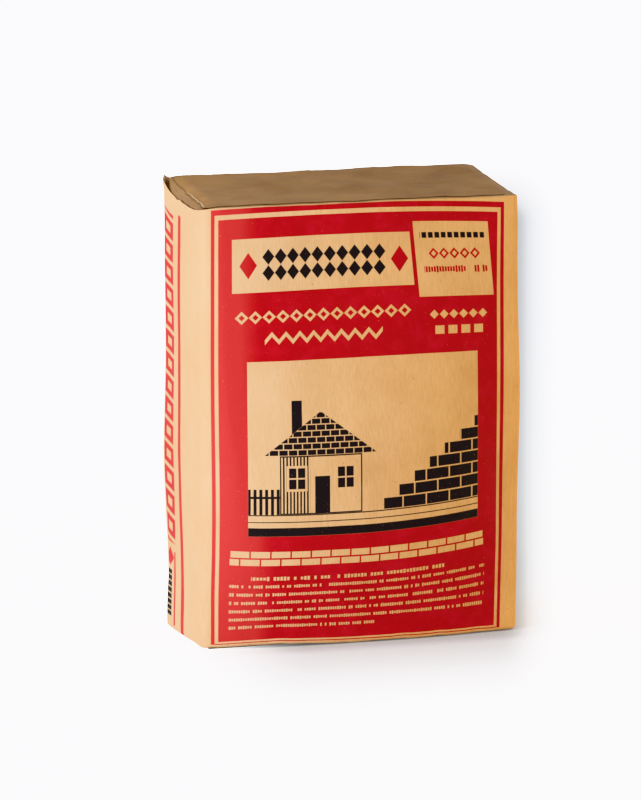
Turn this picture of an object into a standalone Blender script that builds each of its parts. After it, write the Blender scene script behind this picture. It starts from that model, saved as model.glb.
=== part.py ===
"""A full kraft-paper cement sack that stands on its block bottom.

The sack is a multi-ply paper tube whose two ends are folded square. A strip of paper is
glued over each folded end. The bulk cement goes in through a flat paper sleeve under the
top end, which opens at the left side and is pressed shut by the cement when it is full.

Metres, +Z up. The origin is on the floor under the middle of the sack. The printed
front looks towards -Y, and the sleeve opens at -X.
"""

import math

import bmesh
import bpy

# The folded paper tube, over its outside
SACK_WIDTH = 0.340
SACK_DEPTH = 0.162
SACK_HEIGHT = 0.468

# Paper thicknesses, drawn stouter than the real plies so that they are sound solids
PLIES = 0.0012
STRIP_PLY = 0.0010
SLEEVE_PLY = 0.0007
GLUE_GAP = 0.0003

# How the settled cement swells the front and the back
SWELL = 0.027
SWELL_AT_FOOT = 0.012
SWELL_PEAK_AT = 0.25
SWELL_FLATNESS = 2.5
SIDE_SWELL = 0.003

# Loops of the coarse cage along X, Y and Z
CAGE_CUTS = (7, 3, 9)
RIM_CREASE = 1.0
CORNER_CREASE = 0.7

# The strips glued over the folded ends
STRIP_FROM_SIDES = 0.008
STRIP_FROM_FACES = 0.005

# The filling sleeve under the top end
SLEEVE_LENGTH = 0.105
SLEEVE_WIDTH = 0.100
SLEEVE_MOUTH = 0.0012
SLEEVE_CLEARANCE = 0.0004

# The corner of the folded end that stands up behind the sleeve's mouth
EAR_RISE = 0.008
EAR_RUN = 0.030
EAR_INSET = 0.003
EAR_ROOT = 0.0008

SACK_BASE = STRIP_PLY + GLUE_GAP
SLEEVE_HEIGHT = 2 * SLEEVE_PLY + SLEEVE_MOUTH
SLEEVE_TOP = SACK_BASE + SACK_HEIGHT - PLIES - SLEEVE_CLEARANCE


def clear_scene():
    for thing in list(bpy.data.objects):
        bpy.data.objects.remove(thing, do_unlink=True)


def new_collection(name):
    collection = bpy.data.collections.new(name)
    bpy.context.scene.collection.children.link(collection)
    return collection


def new_material(name, colour, roughness):
    material = bpy.data.materials.new(name)
    material.use_nodes = True
    shader = material.node_tree.nodes["Principled BSDF"]
    shader.inputs["Base Color"].default_value = (*colour, 1.0)
    shader.inputs["Roughness"].default_value = roughness
    shader.inputs["Metallic"].default_value = 0.0
    return material


def new_object(name, build, collection, material=None):
    """An object whose mesh is filled by build, which is given an empty bmesh."""
    mesh = bpy.data.meshes.new(name)
    bm = bmesh.new()
    build(bm)
    bm.to_mesh(mesh)
    bm.free()
    piece = bpy.data.objects.new(name, mesh)
    collection.objects.link(piece)
    if material:
        mesh.materials.append(material)
    return piece


def smooth_step(t):
    t = min(max(t, 0.0), 1.0)
    return t * t * (3.0 - 2.0 * t)


def swell_at(across, up):
    """How far the front and back stand out, for across from -1 to 1 and up from 0 to 1.

    Across the sack the swell is a flat-topped arch that ends at the side folds. Upwards it
    climbs to its peak low on the sack, and then fades out towards the top.
    """
    if up < SWELL_PEAK_AT:
        climb = smooth_step(up / SWELL_PEAK_AT)
        height = SWELL_AT_FOOT + (SWELL - SWELL_AT_FOOT) * climb
    else:
        height = SWELL * (1.0 - smooth_step((up - SWELL_PEAK_AT) / (1.0 - SWELL_PEAK_AT)))
    return height * (1.0 - abs(across) ** SWELL_FLATNESS)


def crowd(t):
    """Moves even loops, from -0.5 to 0.5, closer together near the two ends."""
    return 0.5 * math.sin(math.pi * t)


def settled_block(inset):
    """Returns a builder of the sack's form as a cage, drawn in by inset all round."""
    width = SACK_WIDTH - 2.0 * inset
    depth = SACK_DEPTH - 2.0 * inset
    height = SACK_HEIGHT - 2.0 * inset

    def build(bm):
        bmesh.ops.create_cube(bm, size=1.0)
        for axis, cuts in enumerate(CAGE_CUTS):
            along = [e for e in bm.edges if abs(e.verts[0].co[axis] - e.verts[1].co[axis]) > 1e-4]
            bmesh.ops.subdivide_edges(bm, edges=along, cuts=cuts, use_grid_fill=True)

        crease = bm.edges.layers.float.new("crease_edge")
        for edge in bm.edges:
            on_face = [all(abs(abs(v.co[axis]) - 0.5) < 1e-4 for v in edge.verts) for axis in range(3)]
            if on_face[2] and (on_face[0] or on_face[1]):
                edge[crease] = RIM_CREASE
            elif on_face[0] and on_face[1]:
                edge[crease] = CORNER_CREASE

        for vert in bm.verts:
            x, y, z = (crowd(t) for t in vert.co)
            across, back, up = 2.0 * x, 2.0 * y, z + 0.5
            bulge_x = SIDE_SWELL * math.sin(math.pi * up) * (1.0 - back * back)
            vert.co.x = x * width + across * bulge_x
            vert.co.y = y * depth + back * swell_at(across, up)
            vert.co.z = SACK_BASE + inset + up * height

    return build


def round_off(piece):
    """Rounds the cage, and splits each face the same way so that nested forms keep their gap."""
    rounding = piece.modifiers.new("rounding", "SUBSURF")
    rounding.levels = 1
    rounding.render_levels = 1
    facets = piece.modifiers.new("facets", "TRIANGULATE")
    facets.quad_method = "FIXED"


def cut(piece, cutter, operation="DIFFERENCE"):
    boolean = piece.modifiers.new(cutter.name, "BOOLEAN")
    boolean.operation = operation
    boolean.object = cutter
    boolean.solver = "EXACT"


def hide_cutter(cutter):
    cutter.hide_render = True
    cutter.display_type = "WIRE"
    return cutter


def box(low, high):
    """Returns a builder of a box between two opposite corners."""

    def build(bm):
        bmesh.ops.create_cube(bm, size=1.0)
        for vert in bm.verts:
            for axis in range(3):
                middle = (low[axis] + high[axis]) / 2.0
                vert.co[axis] = middle + vert.co[axis] * (high[axis] - low[axis])

    return build


def turned_up_corner(bm):
    """The ear: a triangle of the side's paper that stands up at the back left corner."""
    left = -SACK_WIDTH / 2.0 + EAR_INSET
    back = SACK_DEPTH / 2.0 - EAR_INSET
    top = SACK_BASE + SACK_HEIGHT
    bmesh.ops.create_cube(bm, size=1.0)
    for vert in bm.verts:
        inner, far, high = (t > 0.0 for t in vert.co)
        vert.co.x = left + (PLIES if inner else 0.0)
        vert.co.y = back - (0.0 if far else EAR_RUN)
        tip = EAR_RISE if far else EAR_ROOT
        vert.co.z = top + (tip if high else -EAR_ROOT)


def make_sack(parts, cutters, paper):
    sack = new_object("paper_sack", settled_block(0.0), parts, paper)
    round_off(sack)

    cavity = hide_cutter(new_object("cavity", settled_block(PLIES), cutters))
    round_off(cavity)
    cut(sack, cavity)

    ear = hide_cutter(new_object("ear", turned_up_corner, cutters))
    cut(sack, ear, "UNION")

    half = SLEEVE_WIDTH / 2.0 + SLEEVE_CLEARANCE
    mouth = new_object(
        "sleeve_mouth",
        box(
            (-SACK_WIDTH / 2.0 - 4.0 * PLIES, -half, SLEEVE_TOP - SLEEVE_HEIGHT - SLEEVE_CLEARANCE),
            (-SACK_WIDTH / 2.0 + 4.0 * PLIES, half, SLEEVE_TOP + SLEEVE_CLEARANCE),
        ),
        cutters,
    )
    cut(sack, hide_cutter(mouth))


def make_fill(parts, cutters, cement):
    fill = new_object("cement_fill", settled_block(PLIES + GLUE_GAP), parts, cement)
    round_off(fill)

    half = SLEEVE_WIDTH / 2.0 + SLEEVE_CLEARANCE
    pocket = new_object(
        "sleeve_pocket",
        box(
            (-SACK_WIDTH, -half, SLEEVE_TOP - SLEEVE_HEIGHT - SLEEVE_CLEARANCE),
            (-SACK_WIDTH / 2.0 + SLEEVE_LENGTH + SLEEVE_CLEARANCE, half, SACK_BASE + SACK_HEIGHT),
        ),
        cutters,
    )
    cut(fill, hide_cutter(pocket))


def make_sleeve(parts, cutters, paper):
    """The flat tube that the filling spout goes through, open at both ends."""
    left = -SACK_WIDTH / 2.0
    half = SLEEVE_WIDTH / 2.0
    sleeve = new_object(
        "valve_sleeve",
        box((left, -half, SLEEVE_TOP - SLEEVE_HEIGHT), (left + SLEEVE_LENGTH, half, SLEEVE_TOP)),
        parts,
        paper,
    )
    bore = new_object(
        "sleeve_bore",
        box(
            (left - SLEEVE_LENGTH, -half + SLEEVE_PLY, SLEEVE_TOP - SLEEVE_HEIGHT + SLEEVE_PLY),
            (left + 2.0 * SLEEVE_LENGTH, half - SLEEVE_PLY, SLEEVE_TOP - SLEEVE_PLY),
        ),
        cutters,
    )
    cut(sleeve, hide_cutter(bore))


def make_cover_strip(name, bottom, parts, paper):
    half_x = SACK_WIDTH / 2.0 - STRIP_FROM_SIDES
    half_y = SACK_DEPTH / 2.0 - STRIP_FROM_FACES
    new_object(
        name, box((-half_x, -half_y, bottom), (half_x, half_y, bottom + STRIP_PLY)), parts, paper
    )


def main():
    clear_scene()
    parts = new_collection("cement_bag")
    cutters = new_collection("cutters")

    make_sack(parts, cutters, new_material("kraft_sack", (0.78, 0.56, 0.32), 0.75))
    make_fill(parts, cutters, new_material("grey_cement", (0.36, 0.37, 0.36), 0.95))
    make_sleeve(parts, cutters, new_material("kraft_sleeve", (0.62, 0.42, 0.23), 0.8))
    brown = new_material("kraft_top_strip", (0.42, 0.26, 0.13), 0.8)
    make_cover_strip("top_cover_strip", SACK_BASE + SACK_HEIGHT + GLUE_GAP, parts, brown)
    pale = new_material("kraft_bottom_strip", (0.60, 0.41, 0.22), 0.8)
    make_cover_strip("bottom_cover_strip", 0.0, parts, pale)


main()
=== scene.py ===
# %% [markdown]
# # A full cement sack
# The object is one kraft-paper valve sack, filled with cement and standing on its folded
# block bottom. The construction is already packed as solids. This file makes its looks:
# a skin of paper with folds, dents and creases, the strips glued over the ends, the filling
# sleeve, the cement inside, and the inks and fibres of the paper.

# %% Load the fixed frame
import math

import bpy
import numpy as np
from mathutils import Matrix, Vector


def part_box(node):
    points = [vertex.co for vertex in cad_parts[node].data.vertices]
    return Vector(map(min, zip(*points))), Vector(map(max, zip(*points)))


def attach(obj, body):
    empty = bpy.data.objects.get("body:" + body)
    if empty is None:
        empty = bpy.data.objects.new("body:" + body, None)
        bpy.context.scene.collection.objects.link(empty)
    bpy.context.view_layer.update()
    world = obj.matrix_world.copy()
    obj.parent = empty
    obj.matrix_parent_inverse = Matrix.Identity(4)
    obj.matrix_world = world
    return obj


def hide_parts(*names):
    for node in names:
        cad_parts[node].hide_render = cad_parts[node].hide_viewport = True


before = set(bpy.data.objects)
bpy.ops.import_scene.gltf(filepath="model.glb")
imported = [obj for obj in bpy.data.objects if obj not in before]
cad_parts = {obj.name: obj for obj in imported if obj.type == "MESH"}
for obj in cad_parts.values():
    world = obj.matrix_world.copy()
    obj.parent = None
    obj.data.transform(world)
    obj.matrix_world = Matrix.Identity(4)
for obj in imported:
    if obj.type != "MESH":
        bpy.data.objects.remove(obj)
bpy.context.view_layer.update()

# %% [markdown]
# ## Measures
# The sack is a paper tube with two square-folded ends. Everything below is in metres and is
# worked out from the tube's width, depth and height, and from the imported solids, so that a
# change of the solids carries over to the looks.

# %% Measures of the sack
MM = 0.001
WIDTH = 340 * MM
DEPTH = 162 * MM
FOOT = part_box("paper_sack")[0].z
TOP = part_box("top_cover_strip")[0].z - 0.3 * MM
HEIGHT = TOP - FOOT
HALF_WIDTH = WIDTH / 2
HALF_DEPTH = DEPTH / 2
print("the tube is", round(HEIGHT / MM, 1), "mm high and stands on a strip", round(FOOT / MM, 1), "mm thick")

# %% [markdown]
# ## Camera
# The photograph was taken from far away with a long lens, a little above the sack and to the
# left of its printed face. Fitting a box to the sack's corners in the picture gives the
# direction and the distance. The aim is a point near the middle of the front.

# %% Camera
CAMERA_AZIMUTH = -16.4
CAMERA_ELEVATION = 11.6
CAMERA_DISTANCE = 9.15
CAMERA_AIM = Vector((-18.4 * MM, 0.0, 243 * MM))
PHOTO_HEIGHT_PX = 800
FOCAL_PX = 8678
SENSOR = 36.0


def add_camera():
    turn, rise = math.radians(CAMERA_AZIMUTH), math.radians(CAMERA_ELEVATION)
    back = Vector((math.sin(turn) * math.cos(rise), -math.cos(turn) * math.cos(rise), math.sin(rise)))
    data = bpy.data.cameras.new("camera")
    data.sensor_width = SENSOR
    data.lens = FOCAL_PX / PHOTO_HEIGHT_PX * SENSOR
    data.clip_start, data.clip_end = 0.5, 100.0
    camera = bpy.data.objects.new("camera", data)
    camera.location = CAMERA_AIM + back * CAMERA_DISTANCE
    camera.rotation_euler = (-back).to_track_quat("-Z", "Y").to_euler()
    bpy.context.scene.collection.objects.link(camera)
    bpy.context.scene.camera = camera
    return camera


print("the lens is", round(add_camera().data.lens), "mm long")

# %% [markdown]
# ## Light and floor
# The sack stands in a white studio. A soft light close on the left lights the side wall most,
# fades across the printed face, and leaves the top in half shade. The floor is a large matt
# sheet with a painted glow, a little brighter to the lens than it is to the sack, and a painted
# shadow round the sack.
# The view transform keeps the inks' full colour and rolls off only what is near white.

# %% Studio
def add_area_light(name, azimuth, elevation, distance, size, power, colour):
    """An area light, size = (width, height), that looks at the sack's middle from the given
    direction, in degrees."""
    turn, rise = math.radians(azimuth), math.radians(elevation)
    back = Vector((math.sin(turn) * math.cos(rise), -math.cos(turn) * math.cos(rise), math.sin(rise)))
    data = bpy.data.lights.new(name, "AREA")
    data.shape = "RECTANGLE"
    data.size, data.size_y = size
    data.energy = power
    data.color = colour
    light = bpy.data.objects.new(name, data)
    light.location = Vector((0.0, 0.0, 250 * MM)) + back * distance
    light.rotation_euler = (-back).to_track_quat("-Z", "Y").to_euler()
    bpy.context.scene.collection.objects.link(light)
    return light


def light_studio():
    world = bpy.data.worlds.new("white_studio")
    world.use_nodes = True
    background = world.node_tree.nodes["Background"]
    background.inputs["Color"].default_value = (0.97, 0.97, 1.0, 1.0)
    background.inputs["Strength"].default_value = 0.70
    bpy.context.scene.world = world
    add_area_light("key", -64.0, 6.0, 1.0, (0.5, 1.2), 14.5, (1.0, 0.98, 0.98))
    add_area_light("warm_side", 72.0, 4.0, 1.3, (0.4, 0.8), 6.0, (1.0, 0.72, 0.40))
    bpy.context.scene.view_settings.view_transform = "Khronos PBR Neutral"


light_studio()
FLOOR_HALF = 30.0
bpy.ops.mesh.primitive_grid_add(x_subdivisions=4, y_subdivisions=4, size=2 * FLOOR_HALF, location=(0, 0, 0))
floor = bpy.context.object
floor.name = "floor"

# %% [markdown]
# ## A block lattice
# A sack is a box at heart, so its skin starts as the surface of a lattice: three lists of
# lines across, back and up, and one point wherever they meet on the outside. The six faces
# share their border points, so the skin is closed from the start. The lines lie closer
# together near the folds, where the paper bends sharply.

# %% Block lattice
def lattice_lines(length, pitch, start_extras, end_extras):
    """Positions from 0 to length: a line every pitch, and extra lines at given distances
    from the two ends, inside which the even lines are left out."""
    clear_start, clear_end = max(start_extras), length - max(end_extras)
    count = int(round((clear_end - clear_start) / pitch))
    even = np.linspace(clear_start, clear_end, count + 1)
    return np.concatenate([np.sort(start_extras)[:-1], even, length - np.sort(end_extras)[::-1][1:]])


def block_lattice(nx, ny, nz):
    """The lattice's outer points as three index arrays, and the six faces' quads.

    A point is outside when any index is at an end. Each face is a slice of the array of
    point numbers, and its quads join each number to its next neighbours, turned so that
    the face looks outwards."""
    outside = np.ones((nx, ny, nz), bool)
    outside[1:-1, 1:-1, 1:-1] = False
    number = np.full((nx, ny, nz), -1)
    number[outside] = np.arange(outside.sum())

    def face(sheet, flip):
        quads = np.stack([sheet[:-1, :-1], sheet[1:, :-1], sheet[1:, 1:], sheet[:-1, 1:]], -1)
        quads = quads.reshape(-1, 4)
        return quads[:, ::-1] if flip else quads

    quads = np.concatenate([
        face(number[:, 0, :], False),
        face(number[:, -1, :], True),
        face(number[0, :, :], True),
        face(number[-1, :, :], False),
        face(number[:, :, 0], True),
        face(number[:, :, -1], False),
    ])
    return np.nonzero(outside), quads


def make_mesh(name, points, quads, attributes=()):
    """A mesh from whole arrays, with smooth faces and one vector attribute for each pair given."""
    mesh = bpy.data.meshes.new(name)
    mesh.vertices.add(len(points))
    mesh.vertices.foreach_set("co", np.asarray(points, np.float32).ravel())
    mesh.loops.add(quads.size)
    mesh.loops.foreach_set("vertex_index", quads.astype(np.int32).ravel())
    mesh.polygons.add(len(quads))
    mesh.polygons.foreach_set("loop_start", np.arange(0, quads.size, 4, dtype=np.int32))
    mesh.update(calc_edges=True)
    mesh.validate()
    mesh.shade_smooth()
    for title, values in attributes:
        layer = mesh.attributes.new(title, "FLOAT_VECTOR", "POINT")
        layer.data.foreach_set("vector", np.asarray(values, np.float32).ravel())
    piece = bpy.data.objects.new(name, mesh)
    bpy.context.scene.collection.objects.link(piece)
    print(name, "has", len(points), "points and", 2 * len(quads), "triangles")
    return piece


# %% [markdown]
# ## Smooth steps and waves
# Dents and creases are sums of smooth steps, bells and waves. The waves are cosines in
# directions and phases drawn from a seeded generator, so the paper looks irregular but
# comes out the same each time.

# %% Steps, bells and waves
def step(value, start, end):
    """0 before start, 1 after end, and 3t^2 - 2t^3 between."""
    t = np.clip((value - start) / (end - start), 0.0, 1.0)
    return t * t * (3.0 - 2.0 * t)


def bell(value, centre, half_width):
    """1 at the centre, falling smoothly to 0 at half_width on both sides."""
    return 1.0 - step(np.abs(value - centre), 0.0, half_width)


def waves(points, wavelengths, seed, count=14):
    """A sum of cosines cos(k.x + phase) with random directions, divided so that it mostly
    stays from -1 to 1. wavelengths is the wave's length in metres along x, y and z."""
    draw = np.random.default_rng(seed)
    direction = draw.normal(size=(count, 3))
    direction /= np.linalg.norm(direction, axis=1)[:, None]
    stretch = draw.uniform(0.7, 1.4, size=(count, 1))
    k = direction * stretch * 2.0 * math.pi / np.asarray(wavelengths)
    phase = draw.uniform(0.0, 2.0 * math.pi, size=count)
    return np.cos(points @ k.T + phase).sum(axis=1) / math.sqrt(count)


# %% [markdown]
# ## The filled sack's form
# Cement settles and pushes the two large faces out low down, while the folded ends hold them
# straight at the top. The upright edges are soft folds of the tube, and the two rims are
# sharper folds of the block ends. All of this is one function of the lattice position, so
# the skin, and the cement inside it, come from the same formula.

# %% Form of the filled sack
SWELL = 25 * MM
SWELL_AT_FOOT = 12 * MM
SWELL_PEAK_AT = 0.25
SWELL_FLATNESS = 2.5
SIDE_SWELL = 1.5 * MM
RIGHT_EDGE_OUT = 3.3 * MM
RIGHT_EDGE_BOW = 3.4 * MM
CORNER_RADII = {"front_left": 8.5 * MM, "back_left": 14 * MM, "front_right": 5 * MM, "back_right": 10 * MM}
TOP_RIM_RADIUS = 2.0 * MM
LIP_RADIUS = 0.5 * MM
FOOT_RIM_RADIUS = 3.5 * MM
TURN_FROM_AT_TOP, TURN_FROM_AT_FOOT = 0.865, 0.745
EDGE_TURN = 4.4 * MM
FOOT_LEFT_OUT, FOOT_BULGE = 1.8 * MM, 4.2 * MM
FOOT_TUCK, FOOT_TUCK_FROM = 16.0 * MM, 0.5


def foot_askew(across, back):
    """How far the foot of the left side moves to the right: it stands out, most in its back
    half, and from there a straight tuck leads in, as of a folded corner pushed in."""
    tuck = FOOT_TUCK * np.clip((back - FOOT_TUCK_FROM) / (1.0 - FOOT_TUCK_FROM), 0.0, 1.0)
    return (tuck - FOOT_LEFT_OUT - FOOT_BULGE * step(back, -1.0, FOOT_TUCK_FROM)) * step(-across, 0.6, 1.0)


def swell_at(across, up):
    """How far the large faces stand out: an arch 1 - |across|^flatness, times a height that
    climbs from the foot to its peak and fades out towards the top."""
    climb = SWELL_AT_FOOT + (SWELL - SWELL_AT_FOOT) * step(up, 0.0, SWELL_PEAK_AT)
    fade = SWELL * (1.0 - step(up, SWELL_PEAK_AT, 1.0))
    height = np.where(up < SWELL_PEAK_AT, climb, fade)
    return height * (1.0 - np.abs(across) ** SWELL_FLATNESS)


def round_in_plane(first, second, radius):
    """Rounds the corner of two distances. What is nearer than radius is drawn in so that the
    larger leg's length becomes the distance from the arc's centre. Returns both distances
    and the two parts of the outward direction."""
    leg_1 = np.clip(radius - first, 0.0, None)
    leg_2 = np.clip(radius - second, 0.0, None)
    length = np.hypot(leg_1, leg_2)
    safe = np.where(length > 0.0, length, 1.0)
    shrink = np.where(length > 0.0, np.maximum(leg_1, leg_2) / safe, 1.0)
    return first + leg_1 * (1 - shrink), second + leg_2 * (1 - shrink), leg_1 / safe, leg_2 / safe


def block_form(u, v, t):
    """Places lattice points on the plain filled sack. u and v run from -1 to 1, t from 0 to 1.

    The section is a rectangle with rounded corners. Its rims are rounded between the wall and
    the end. Then the large faces move out by their swell, and the sides by a sine of height,
    the right one with its upright edges. A strip of the front beside the left edge is turned
    towards the side, and the left wall's foot is askew, with its back corner tucked in.
    Returns the points and their outward directions."""
    x, y = HALF_WIDTH * u, HALF_DEPTH * v
    left, front = x < 0, y < 0
    radius = np.where(
        left,
        np.where(front, CORNER_RADII["front_left"], CORNER_RADII["back_left"]),
        np.where(front, CORNER_RADII["front_right"], CORNER_RADII["back_right"]),
    )
    from_side, from_face = HALF_WIDTH - np.abs(x), HALF_DEPTH - np.abs(y)
    new_side, new_face, toward_side, toward_face = round_in_plane(from_side, from_face, radius)
    normal_x, normal_y = np.sign(x) * toward_side, np.sign(y) * toward_face
    x, y = np.sign(x) * (HALF_WIDTH - new_side), np.sign(y) * (HALF_DEPTH - new_face)

    inward = np.minimum(from_side, from_face)
    upper = t > 0.5
    from_end = np.where(upper, 1.0 - t, t) * HEIGHT
    lip = np.clip(-normal_x, 0.0, 1.0) ** 2
    rim = np.where(upper, TOP_RIM_RADIUS + (LIP_RADIUS - TOP_RIM_RADIUS) * lip, FOOT_RIM_RADIUS)
    new_inward, new_end, toward_wall, toward_end = round_in_plane(inward, from_end, rim)
    x -= normal_x * (new_inward - inward)
    y -= normal_y * (new_inward - inward)
    z = FOOT + np.where(upper, HEIGHT - new_end, new_end)

    across, back, up = x / HALF_WIDTH, y / HALF_DEPTH, (z - FOOT) / HEIGHT
    turn_from = TURN_FROM_AT_FOOT + (TURN_FROM_AT_TOP - TURN_FROM_AT_FOOT) * step(up, 0.1, 0.75)
    turn = EDGE_TURN * np.clip((-across - turn_from) / (1.0 - turn_from), 0.0, 1.0) ** 1.3
    turn *= np.clip(-back, 0.0, 1.0) * step(up, 0.02, 0.15)
    bow = RIGHT_EDGE_BOW * step(across, 0.87, 1.0) + SIDE_SWELL * np.abs(across) * (1.0 - back**2)
    x += np.sign(across) * bow * np.sin(math.pi * up) + RIGHT_EDGE_OUT * step(across, 0.87, 1.0)
    x += foot_askew(across, back) * (1.0 - step(up, 0.0, 0.4))
    y += back * swell_at(np.clip(across, -1, 1), up) + turn

    facing = np.stack([normal_x * toward_wall, normal_y * toward_wall, np.where(upper, 1, -1) * toward_end], -1)
    return np.stack([x, y, z], -1), facing


# %% [markdown]
# ## The valve end
# The sack is filled through a flat sleeve under the left end of the top. There the folded end
# slopes down to the side wall, whose free edge stands beside it like a lip, with a dark gap
# between. At the back corner this edge rises to a pointed ear. They are small height changes
# along the end, so they are added to the lattice points near it.

# %% Valve end and top
END_DROP = 8.5 * MM
END_DROP_RUN = 25 * MM
GAP_FROM, GAP_TO, GAP_TO_AT_EAR = 0.7 * MM, 1.9 * MM, 4.6 * MM
GAP_DEPTH = 5.0 * MM
EAR_RISE = 5.5 * MM
EAR_RUN, EAR_BACK_RUN = 36 * MM, 8.6 * MM
EAR_LEAN = 2.0 * MM
BACK_RAISE = 4.2 * MM
BACK_LEFT_RAISE = 2.4 * MM
FRONT_RIGHT_SAG = 2.6 * MM


def top_lift(x, y):
    """Height of the top above or below its level plane, without the gap and the ear.

    The back is pushed up, most at its left, the front right sags, and the left end slopes
    down to the side wall, most at the middle of the depth and not at all at the corners."""
    left_share, back_share = 0.5 - 0.5 * x / HALF_WIDTH, 0.5 + 0.5 * y / HALF_DEPTH
    from_left = HALF_WIDTH + x
    slope = (1.0 - step(from_left, 0.0, END_DROP_RUN)) * (1.0 - np.clip(np.abs(y / HALF_DEPTH), 0, 1) ** 3)
    raised = (BACK_RAISE + BACK_LEFT_RAISE * left_share) * back_share**2
    sagged = FRONT_RIGHT_SAG * (1.0 - left_share) ** 2 * (1.0 - back_share)
    return raised - sagged - END_DROP * slope


FOOT_CURL = 2.6 * MM
FOOT_RIPPLE = 0.6 * MM
FOOT_SETTLE = 0.9 * MM


def foot_lift(x, y):
    """Height by which the lower folds leave the level of the end. Outside the strip they settle
    to the floor. The front's fold curls up a little: a wide bell on the left and short ripples."""
    near_front = step(-y / HALF_DEPTH, 0.55, 1.0)
    ripples = np.stack([x, 0.0 * x, 0.0 * x], -1)
    ripple = np.clip(waves(ripples, (0.03, 1.0, 1.0), seed=47), 0.0, None)
    curl = FOOT_CURL * bell(x / HALF_WIDTH, -0.62, 0.6)
    outside = np.maximum(step(np.abs(x), 163 * MM, 165 * MM), step(np.abs(y), 77 * MM, 79 * MM))
    return near_front * (curl + FOOT_RIPPLE * ripple) - FOOT_SETTLE * outside


def lip_and_gap(u, v):
    """Height of the free edge and depth of the gap beside it, by the lattice distances from the
    left side and from the back. The ear is a ramp of the side's edge towards the back corner
    and a short, steep one of the back's edge, and the gap widens in front of it."""
    from_left = HALF_WIDTH * (1.0 + u)
    from_back = HALF_DEPTH * (1.0 - v)
    side_ramp = np.clip(1.0 - from_back / EAR_RUN, 0.0, 1.0) ** 1.5 * (from_left < GAP_FROM)
    back_ramp = np.clip(1.0 - from_left / EAR_BACK_RUN, 0.0, 1.0) * (from_back < GAP_FROM)
    lip = EAR_RISE * np.maximum(side_ramp, back_ramp)
    gap_to = GAP_TO + (GAP_TO_AT_EAR - GAP_TO) * bell(from_back, 9 * MM, 26 * MM)
    gap = step(from_left, GAP_FROM - 0.3 * MM, GAP_FROM) * (1.0 - step(from_left, gap_to, gap_to + 1.5 * MM))
    gap = gap * (0.35 + 0.65 * (bell(from_back, 8 * MM, 34 * MM) + bell(from_back, 98 * MM, 42 * MM)))
    gap = np.clip(gap, 0.0, 1.0) * step(DEPTH - from_back, 2 * MM, 12 * MM) * step(from_back, 0.5 * MM, 1.2 * MM)
    return lip, gap


# %% [markdown]
# ## Dents, folds and cockles
# Paper over powder is never plain. Broad dents come from handling, low cockles run up and
# down the tube where the paper took up damp, and short sharp folds gather where the swollen
# faces meet the block ends.

# %% Relief of the paper
SEAM_AT, SEAM_STEP = 46 * MM, 0.5 * MM


def creases(points, seed, count=34):
    """Soft ridges and grooves of the back and the right side. Each is a bell exp(-d^2) across a
    line and a longer one along it, in the plane of height and of the way round the corner."""
    draw = np.random.default_rng(seed)
    round_corner = points[:, 0] + np.clip(HALF_DEPTH - points[:, 1], 0.0, None)
    total = np.zeros(len(points))
    for _ in range(count):
        centre = draw.uniform(-HALF_WIDTH, HALF_WIDTH + DEPTH), draw.uniform(FOOT, TOP)
        tilt, length, width = draw.normal(0.0, 0.5), draw.uniform(18, 60) * MM, draw.uniform(2.5, 5) * MM
        off_p, off_q = round_corner - centre[0], points[:, 2] - centre[1]
        across = (off_p * math.cos(tilt) + off_q * math.sin(tilt)) / width
        along = (off_q * math.cos(tilt) - off_p * math.sin(tilt)) / length
        total += draw.uniform(-0.7, 0.5) * MM * np.exp(-(across**2) - along**2)
    return total


def relief(points, facing):
    """How far the skin stands out from the plain form, along its outward direction."""
    x, y, z = points.T
    up = (z - FOOT) / HEIGHT
    wall = 1.0 - np.abs(facing[:, 2])
    at_back, at_right = step(facing[:, 1], 0.3, 0.8), step(facing[:, 0], 0.3, 0.8)
    far_sides = creases(points, seed=61) * np.maximum(at_back, at_right)
    seam = SEAM_STEP * at_back * step(x, SEAM_AT - 1.5 * MM, SEAM_AT + 1.5 * MM) * (1.0 - step(x, 0.1, 0.14))
    calm_at_folds = step(z, FOOT, FOOT + 60 * MM) * (1.0 - step(z, TOP - 60 * MM, TOP))
    broad = 0.9 * MM * waves(points, (0.16, 0.16, 0.22), seed=3) * (0.25 + 0.75 * calm_at_folds)
    cockle = 0.22 * MM * waves(points, (0.045, 0.045, 0.16), seed=8, count=24)
    fine = 0.07 * MM * waves(points, (0.016, 0.016, 0.05), seed=21, count=30)
    gathers = waves(points, (0.018, 0.03, 0.05), seed=5, count=24) * np.exp(-np.clip(z - FOOT, 0, None) / (16 * MM))
    top_wrinkles = 0.35 * MM * waves(points, (0.05, 0.022, 0.1), seed=12, count=20)
    valve_wrinkles = waves(points, (0.03, 0.018, 0.1), seed=53, count=20) * (1.0 - step(x, -0.162, -0.135))
    top_wrinkles += 0.5 * MM * np.abs(valve_wrinkles) * (1.0 - np.clip(np.abs(y) / HALF_DEPTH, 0, 1) ** 4)
    on_wall = broad + cockle + fine + 0.5 * MM * gathers * (1.0 - step(up, 0.0, 0.12)) + far_sides + seam
    on_top = 0.5 * MM * waves(points, (0.11, 0.09, 0.2), seed=17) + top_wrinkles
    on_foot = -0.6 * MM * np.abs(waves(points, (0.07, 0.05, 0.2), seed=19))
    end = np.where(facing[:, 2] > 0, on_top, on_foot)
    return on_wall * wall + end * np.abs(facing[:, 2])


def sack_points(u, v, t, inset=0.0):
    """The sack's surface at lattice points, drawn in by inset along its outward direction."""
    plain, facing = block_form(u, v, t)
    moved = plain + facing * (relief(plain, facing) - inset)[:, None]
    x, y = moved[:, 0], moved[:, 1]
    up = (plain[:, 2] - FOOT) / HEIGHT
    moved[:, 2] += top_lift(x, y) * step(up, 0.80, 1.0) + foot_lift(x, y) * (1.0 - step(up, 0.0, 0.1))
    return moved, facing


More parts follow.
